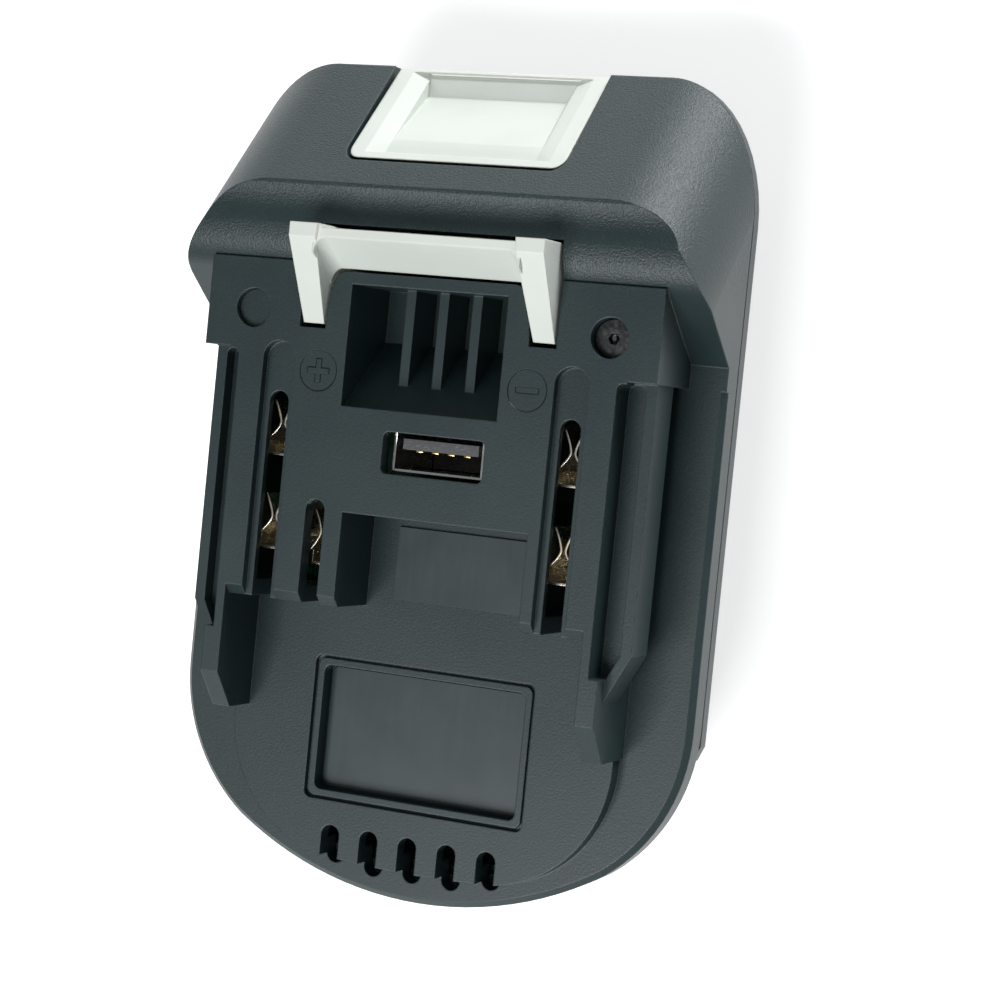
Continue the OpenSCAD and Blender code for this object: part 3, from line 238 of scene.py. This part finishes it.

# %% [markdown]
# ## Light grey latch
# Button and hook are one acetal moulding, smooth and a little translucent. A plain grey would look
# like paper, so the tone drifts slowly, the edges get a painted creamy sheen for the light that
# shines through the plastic there, and faint flow marks break the gloss.

# %% Latch finish
latch, t, at = start("grey_acetal")
drift = at.noise(90, 2.0)
flow = at.stretch(1, 0.25, 1).noise(420, 3.0, 0.55)
skin = at.noise(4200, 2.0)
# Painted sheen: the edges are tinted creamy to stand in for light coming through the plastic.
creamy_edges_painted_sheen = edge_mask(t, 0.7 * MM, 0.01, 0.2)
soft_corner = t.node("Bevel", {"samples": 6}, {"Radius": 0.35 * MM})
tone = drift.ramp(0.3, 0.7).tint(colour(0.670, 0.715, 0.665), colour(0.710, 0.755, 0.705))
close(t,
      base_color=(creamy_edges_painted_sheen * 0.7).tint(tone, colour(0.775, 0.780, 0.700)),
      roughness=0.36 + 0.12 * (flow - 0.5) + 0.05 * (skin - 0.5),
      normal=t.relief(skin * 0.6 + flow * 0.4, 0.012 * MM, 0.5, soft_corner))
print("latch finish:", len(latch.node_tree.nodes), "nodes")

# %% [markdown]
# ## Nickel strip
# Contacts and blades are stamped from nickel-plated bronze. Rolling leaves fine lines along the
# strip, and the warm metal shows through where the plating is thin. The lines are a noise that is
# stretched along one axis.

# %% Nickel finish
nickel, t, at = start("nickel_strip")
lines = at.stretch(1, 1, 0.06).noise(5200, 3.0, 0.6)
patch = at.noise(420, 4.0, 0.6).ramp(0.42, 0.7)
worn = edge_mask(t, 0.12 * MM)
plate_tone = patch.tint(colour(0.80, 0.76, 0.66), colour(0.62, 0.53, 0.38))
close(t,
      base_color=(worn * 0.5).tint(plate_tone, colour(0.90, 0.87, 0.80)),
      metallic=1.0,
      roughness=0.22 + 0.22 * (lines - 0.4) + 0.14 * patch,
      normal=t.relief(lines, 0.006 * MM, 0.5))
print("nickel finish:", len(nickel.node_tree.nodes), "nodes")

# %% [markdown]
# ## Socket shell and its gilt pins
# The charging socket is folded from tinned sheet, brighter and colder than the contacts, with
# rolling lines and a few scratches from plugs. Its pins are gold flashed.

# %% Socket finishes
socket_steel, t, at = start("tinned_sheet")
rolled = at.stretch(0.05, 1, 1).noise(6000, 2.0)
scratch = at.stretch(3, 1, 0.08).noise(2600, 2.0).ramp(0.62, 0.68)
close(t,
      base_color=scratch.tint(colour(0.70, 0.70, 0.69), colour(0.86, 0.85, 0.83)),
      metallic=1.0,
      roughness=0.20 + 0.16 * (rolled - 0.4) + 0.10 * scratch,
      normal=t.relief(rolled, 0.004 * MM, 0.5))

gilt, t, at = start("gilt_pin")
rub = at.stretch(1, 1, 0.1).noise(3500, 2.0).ramp(0.45, 0.7)
close(t,
      base_color=rub.tint(colour(0.82, 0.62, 0.26), colour(0.62, 0.50, 0.30)),
      metallic=1.0,
      roughness=0.24 + 0.16 * rub)
print("socket finishes ready")

# %% [markdown]
# ## Black insulators
# The tongue of the socket and the terminal block are glass-filled resin. Short fibres lie along the
# flow and show as pale streaks when the light rakes the surface.

# %% Insulator finish
insulator, t, at = start("glass_filled_resin")
fibre = at.stretch(0.25, 1, 1).noise(5200, 3.0, 0.65).ramp(0.5, 0.72)
haze = at.noise(300, 2.0)
tone = fibre.tint(colour(0.075, 0.079, 0.083), colour(0.165, 0.170, 0.175))
close(t,
      base_color=tone,
      roughness=0.52 + 0.16 * (haze - 0.5) - 0.10 * fibre,
      normal=t.relief(fibre, 0.008 * MM, 0.5))
print("insulator finish:", len(insulator.node_tree.nodes), "nodes")

# %% [markdown]
# ## Bare plates
# Two bare thin plates of black film lie in the recesses. Film is glossier than the shell round it,
# slightly wavy where the glue pulls, and it shows dust and fine wipe marks.

# %% Plate finish
plate_film, t, at = start("black_film")
wave = at.noise(160, 2.0)
wipe = at.stretch(1, 0.08, 1).noise(1500, 3.0, 0.6)
dust = at.cells(1700).ramp(0.02, 0.07)
tone = wave.ramp(0.3, 0.7).tint(colour(0.028, 0.042, 0.044), colour(0.036, 0.052, 0.054))
close(t,
      base_color=(1 - dust).tint(tone, colour(0.10, 0.11, 0.11)),
      roughness=0.36 + 0.14 * (wipe - 0.5) + 0.06 * (1 - dust),
      coat_weight=0.15 + 0.2 * (wave - 0.5),
      normal=t.relief(wave * 0.7 + wipe * 0.3, 0.02 * MM, 0.4))
print("plate finish:", len(plate_film.node_tree.nodes), "nodes")

# %% [markdown]
# ## Blackened screws
# The screws are turned, then blackened. Turning leaves rings about each screw's axis. Left and right
# screws mirror each other, so the distance to the nearest axis can be had from |x| alone.

# %% Screw finish
def screw_rings(at, across, along, pitch):
    x, y, _ = at.axes()
    r = ((abs(x) - across) ** 2 + (y - along) ** 2) ** 0.5
    return (r / pitch).math("FRACT", r / pitch)


screw_steel, t, at = start("blackened_steel")
deck_rings = screw_rings(at, SCREW_X, SCREW_Y, 0.16 * MM)
blotch = at.noise(1400, 3.0, 0.6).ramp(0.4, 0.7)
bared = edge_mask(t, 0.2 * MM)
tone = blotch.tint(colour(0.040, 0.042, 0.045), colour(0.075, 0.075, 0.075))
close(t,
      base_color=(bared * 0.5).tint(tone, colour(0.26, 0.26, 0.26)),
      metallic=0.75,
      roughness=0.40 + 0.12 * blotch,
      normal=t.relief(deck_rings, 0.01 * MM, 0.35))
print("screw finish:", len(screw_steel.node_tree.nodes), "nodes")

# %% [markdown]
# ## The circuit inside
# The board is glass epoxy under green mask, with copper tracks that show through as paler lanes.
# On it stand a ferrite core with its winding, two cans and a chip.

# %% Board finish
board, t, at = start("green_mask")
lanes = at.node("TexBrick", {"offset": 0.37, "squash": 0.6, "squash_frequency": 3},
                {"Vector": at, "Scale": 150.0, "Mortar Size": 0.09, "Mortar Smooth": 0.2,
                 "Brick Width": 0.9, "Row Height": 0.3}, "Fac")
vias = 1 - at.cells(260).ramp(0.10, 0.16)
weave = at.noise(2600, 2.0)
mask_tone = lanes.tint(colour(0.008, 0.045, 0.022), colour(0.018, 0.085, 0.040))
close(t,
      base_color=vias.tint(mask_tone, colour(0.55, 0.45, 0.22)),
      roughness=0.34 + 0.12 * (weave - 0.5),
      metallic=vias * 0.8,
      normal=t.relief(lanes * 0.8 + weave * 0.2, 0.03 * MM, 0.6))
print("board finish:", len(board.node_tree.nodes), "nodes")

# %% Small parts on the board
ferrite, t, at = start("sintered_ferrite")
pores = at.cells(2200).ramp(0.05, 0.3)
close(t, base_color=pores.tint(colour(0.018, 0.018, 0.020), colour(0.055, 0.055, 0.058)),
      roughness=0.50 + 0.2 * pores, normal=t.relief(pores, 0.02 * MM, 0.5))

copper, t, at = start("enamelled_winding")
# The wave of the turns also paints the colour: painted shade between the turns, painted highlight on
# their crests.
turns_and_painted_shade = at.node("TexWave", {"bands_direction": "Z", "wave_profile": "SIN"},
               {"Vector": at, "Scale": 1 / (0.4 * MM) / 3.2, "Distortion": 0.6, "Detail": 1.0})
close(t, base_color=turns_and_painted_shade.tint(colour(0.25, 0.085, 0.030), colour(0.66, 0.31, 0.13)), metallic=0.9,
      roughness=0.42 - 0.16 * turns_and_painted_shade, normal=t.relief(turns_and_painted_shade, 0.12 * MM, 0.7))

can, t, at = start("drawn_can")
drawn = at.stretch(1, 1, 0.05).noise(3200, 2.0)
close(t, base_color=drawn.tint(colour(0.60, 0.61, 0.63), colour(0.80, 0.81, 0.83)), metallic=1.0,
      roughness=0.26 + 0.2 * drawn, normal=t.relief(drawn, 0.01 * MM, 0.4))

chip, t, at = start("moulded_package")
filler = at.noise(3800, 3.0, 0.6)
close(t, base_color=filler.tint(colour(0.016, 0.016, 0.018), colour(0.040, 0.040, 0.042)),
      roughness=0.50 + 0.2 * (filler - 0.5), normal=t.relief(filler, 0.02 * MM, 0.4))

spring_steel, t, at = start("spring_wire")
drawing = at.noise(2600, 3.0, 0.6)
close(t, base_color=drawing.tint(colour(0.46, 0.45, 0.43), colour(0.70, 0.69, 0.66)), metallic=1.0,
      roughness=0.26 + 0.18 * drawing, normal=t.relief(drawing, 0.01 * MM, 0.4))
print("circuit and spring finishes ready")

# %% [markdown]
# ## Dressing the solids
# Every solid keeps its own mesh. Its slot of the record says which finish it wears. The edges of the
# small parts are rounded by modifiers: a weld closes the mesh, and a bevel of about a tenth of a
# millimetre breaks each sharp corner. The shells and the latch have openings and fillets that meet
# at one corner, where a bevel leaves creases, so theirs are rounded in the finish.

# %% Finishes and rounded edges
FINISH = {"housing": housing, "latch": latch, "spring_steel": spring_steel, "board": board,
          "nickel": nickel, "socket_steel": socket_steel, "insulator": insulator, "gilt_brass": gilt,
          "ferrite": ferrite, "copper": copper, "can": can, "chip": chip, "plate_film": plate_film,
          "screw_steel": screw_steel}
ROUND = {"nickel": 0.06, "socket_steel": 0.08, "insulator": 0.10, "plate_film": 0.08,
         "screw_steel": 0.12, "board": 0.08, "can": 0.3, "chip": 0.12, "ferrite": 0.12,
         "gilt_brass": 0.05, "copper": 0.1}    # bevel widths in millimetres


def round_edges(piece, width):
    weld = piece.modifiers.new("close the mesh", "WELD")
    weld.merge_threshold = 0.002 * MM
    bevel = piece.modifiers.new("round the edges", "BEVEL")
    bevel.limit_method = "ANGLE"
    bevel.angle_limit = math.radians(34)
    bevel.width = width * MM
    bevel.segments = 2
    bevel.use_clamp_overlap = False
    bevel.miter_outer = "MITER_SHARP"
    piece.modifiers.new("even shading", "WEIGHTED_NORMAL").weight = 60


slot_of = {part["node"]: part["material_slot"] for part in frame["record"]["subparts"]}
for name, piece in nodes.items():
    for holder in piece.material_slots:
        holder.material = FINISH[slot_of[name]]
    if slot_of[name] in ROUND:
        round_edges(piece, ROUND[slot_of[name]])
print("dressed", len(nodes), "solids")

# %% [markdown]
# ## Screw pins
# The deck screws have a pin in the middle of their drive, so that a plain key does not fit. The pin
# is too small to matter for the solids. It is made here and rides with the adapter.

# %% Pins
shape = bmesh.new()
for side in (-1, 1):
    stand = Matrix.Translation((side * SCREW_X, SCREW_Y, 39.9 * MM))
    bmesh.ops.create_cone(shape, cap_ends=True, segments=16, radius1=0.32 * MM, radius2=0.26 * MM,
                          depth=0.8 * MM, matrix=stand)
mesh = bpy.data.meshes.new("screw_pins")
shape.to_mesh(mesh)
shape.free()
mesh.materials.append(screw_steel)
pins = bpy.data.objects.new("screw_pins", mesh)
bpy.context.scene.collection.objects.link(pins)
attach(pins, "adapter")
print("pins:", len(mesh.polygons), "faces")

# %% [markdown]
# ## Stand-in springs
# A solid spring cannot shorten, so the pressed latch would cut through it. A copy of it stands in,
# with its own mesh and the spring finish, and rides with the adapter.

# %% Return springs
coils = bpy.data.objects.new("return_springs", nodes["latch_springs"].data.copy())
coils.data.materials.clear()
coils.data.materials.append(spring_steel)
bpy.context.scene.collection.objects.link(coils)
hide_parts("latch_springs")
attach(coils, "adapter")
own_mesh(coils)

# %% [markdown]
# ## Studio
# A white sweep under soft boxes. The floor is plain and diffuse, so it keeps the shadow. Only what
# the camera sees of it, straight or in a reflection, is lifted to white.

# %% Floor
def sheet_mesh(name, half):
    mesh = bpy.data.meshes.new(name)
    mesh.from_pydata([(-half, -half, 0), (half, -half, 0), (half, half, 0), (-half, half, 0)], [],
                     [(0, 1, 2, 3)])
    made = bpy.data.objects.new(name, mesh)
    bpy.context.scene.collection.objects.link(made)
    return made


floor = sheet_mesh("floor", 3.0)
floor.location.z = -0.05 * MM
paper, t, at = start("white_sweep")
seen = t.node("LightPath", None, None, "Is Camera Ray")
mirror = t.node("LightPath", None, None, "Is Glossy Ray")
through = t.node("LightPath", None, None, "Is Transmission Ray")
lift = seen.math("ADD", seen, mirror + through, clamp=True)
matt = t.node("BsdfDiffuse", None, {"Color": colour(0.80, 0.80, 0.80)})
glow = t.node("Emission", None, {"Color": colour(1, 1, 1), "Strength": 0.62})
bright = t.node("AddShader", None, {0: matt, 1: glow})
t.node("OutputMaterial", None, {"Surface": t.node("MixShader", None, {0: lift, 1: matt, 2: bright})})
floor.data.materials.append(paper)
print("floor ready")

# %% World
world = bpy.data.worlds.new("studio")
bpy.context.scene.world = world
world.use_nodes = True
world.node_tree.nodes.clear()
t = Wire(world.node_tree)
seen = t.node("LightPath", None, None, "Is Camera Ray")
room = t.node("Background", None, {"Color": colour(0.94, 0.98, 1.0), "Strength": 0.25})
white = t.node("Background", None, {"Color": colour(1, 1, 1), "Strength": 1.0})
t.node("OutputWorld", None, {"Surface": t.node("MixShader", None, {0: seen, 1: room, 2: white})})
print("world ready")


# %% Lamps
def soft_box(name, place, target, width, height, watts):
    lamp = bpy.data.lights.new(name, "AREA")
    lamp.shape = "RECTANGLE"
    lamp.size, lamp.size_y = width, height
    lamp.energy = watts
    made = bpy.data.objects.new(name, lamp)
    made.location = place
    made.rotation_mode = "QUATERNION"
    made.rotation_quaternion = (Vector(target) - Vector(place)).to_track_quat("-Z", "Y")
    bpy.context.scene.collection.objects.link(made)


middle = (0, 0, 0.03)
soft_box("front", (0.20, 0.95, 0.18), middle, 0.9, 0.35, 3.0)
soft_box("rear", (-0.10, -0.50, 0.80), middle, 0.6, 0.4, 8.0)
soft_box("corner_strip", (0.42, 0.89, 0.09), middle, 0.40, 0.20, 7.2)
print("lamps ready")
